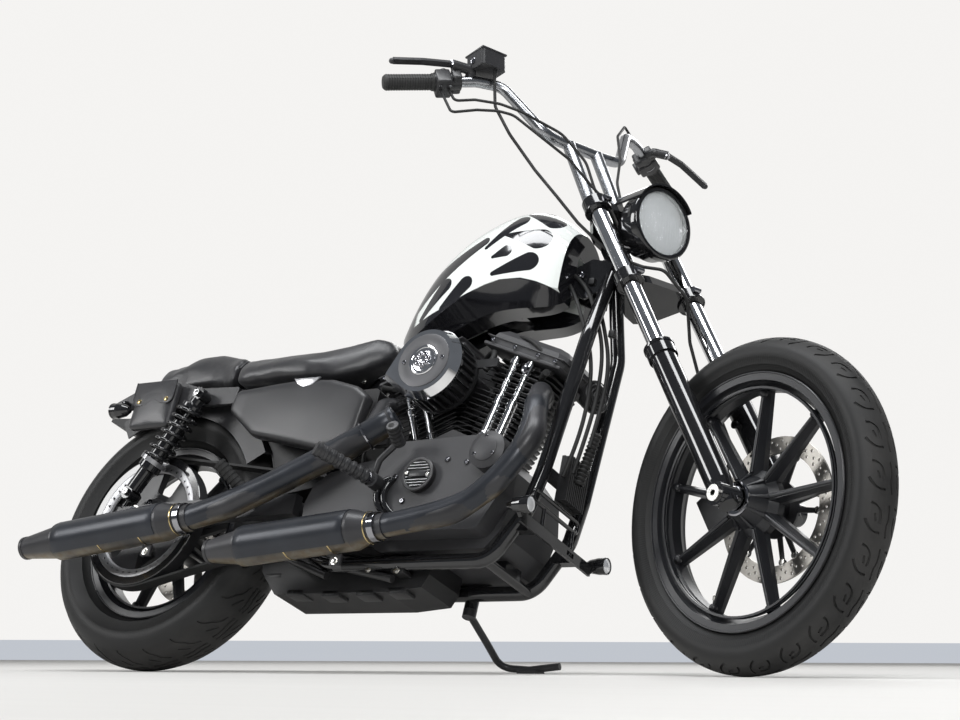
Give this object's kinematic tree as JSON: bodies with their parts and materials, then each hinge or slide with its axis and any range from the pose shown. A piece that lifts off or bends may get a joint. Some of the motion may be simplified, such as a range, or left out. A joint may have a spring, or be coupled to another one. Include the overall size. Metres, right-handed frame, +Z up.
{
  "type": "chopper motorcycle",
  "caption": "Low V-engined motorcycle with tall handlebar, teardrop tank, passenger seat and stacked exhausts, leaning on its side stand; wheels, fork and stand move.",
  "frame": {"origin": "centre of the bounding box's base, on the floor under the tyres and side stand", "axes": "+X forward along the wheelbase, +Y to the rider's left, +Z up; the motorcycle leans 20 degrees to +Y"},
  "size_m": [2.1493, 1.0643, 1.4064],
  "materials": {
    "frame_black": "gloss",
    "engine_grey": "satin wrinkle",
    "engine_black": "satin",
    "chrome": "polished",
    "steel": "brushed",
    "satin_black": "satin",
    "tank_paint": "gloss with dark lobes",
    "leather": "soft sheen",
    "tyre": "matte",
    "rubber": "matte",
    "glass": "clear",
    "plastic_black": "matte",
    "lens": "clear facets",
    "aluminium": "cast"
  },
  "bodies": {
    "frame": {"frame_tubes": "frame_black", "swingarm": "frame_black", "crankcase": "engine_grey", "cylinder_front": "engine_black", "cylinder_rear": "engine_black", "rocker_cover_front": "engine_grey", "rocker_cover_rear": "engine_grey", "pushrod_tubes": "chrome", "cam_cover": "engine_grey", "timer_cover": "engine_black", "sprocket_cover": "engine_grey", "primary_cover": "engine_grey", "belly_pan": "plastic_black", "intake_body": "engine_black", "battery_case": "plastic_black", "air_cleaner_cover": "chrome", "air_filter": "engine_black", "fuel_tank": "tank_paint", "seat": "leather", "side_cover_right": "satin_black", "side_cover_left": "satin_black", "rear_fender": "frame_black", "fender_struts": "frame_black", "drive_belt": "rubber", "foot_controls": "satin_black", "passenger_pegs": "rubber", "shocks": "frame_black", "shock_springs": "frame_black", "exhaust_front": "satin_black", "exhaust_rear": "satin_black", "horn": "plastic_black", "regulator": "engine_black", "indicator_bracket": "frame_black", "indicators": "frame_black", "tail_bracket": "frame_black", "tool_pouch": "leather", "rear_axle": "steel", "rear_caliper": "satin_black"},
    "fork": {"fork_tubes": "chrome", "fork_sliders": "frame_black", "front_axle": "chrome", "upper_clamp": "frame_black", "lower_clamp": "frame_black", "handlebar": "steel", "grips": "rubber", "hand_controls": "satin_black", "control_cables": "rubber", "brake_hose": "rubber", "headlamp_bucket": "frame_black", "headlamp_lens": "glass", "headlamp_visor": "frame_black", "front_caliper": "satin_black"},
    "front_wheel": {"front_tyre": "tyre", "front_rim": "frame_black", "front_disc": "steel"},
    "rear_wheel": {"rear_tyre": "tyre", "rear_rim": "frame_black", "rear_pulley": "aluminium", "rear_disc": "steel"},
    "side_stand": {"side_stand": "frame_black"}
  },
  "joints": [
    {"name": "steering", "type": "hinge", "parent": "frame", "child": "fork", "pos_m": [0.70799, -0.27274, 0.29201], "axis": [-0.5034, 0.2962, 0.8117], "range_deg": [-9.8, 54.2]},
    {"name": "front_wheel_spin", "type": "hinge", "parent": "fork", "child": "front_wheel", "pos_m": [0.75915, -0.28533, 0.32834], "axis": [0.3278, 0.9346, -0.1378], "continuous": true},
    {"name": "rear_wheel_spin", "type": "hinge", "parent": "frame", "child": "rear_wheel", "pos_m": [-0.75167, -0.26453, 0.30847], "axis": [0.0014, 0.9397, -0.342], "continuous": true},
    {"name": "side_stand_swing", "type": "hinge", "parent": "frame", "child": "side_stand", "pos_m": [0.05707, -0.22289, 0.13387], "axis": [-0.0437, 0.4312, 0.9012], "range_deg": [0, 100]}
  ]
}
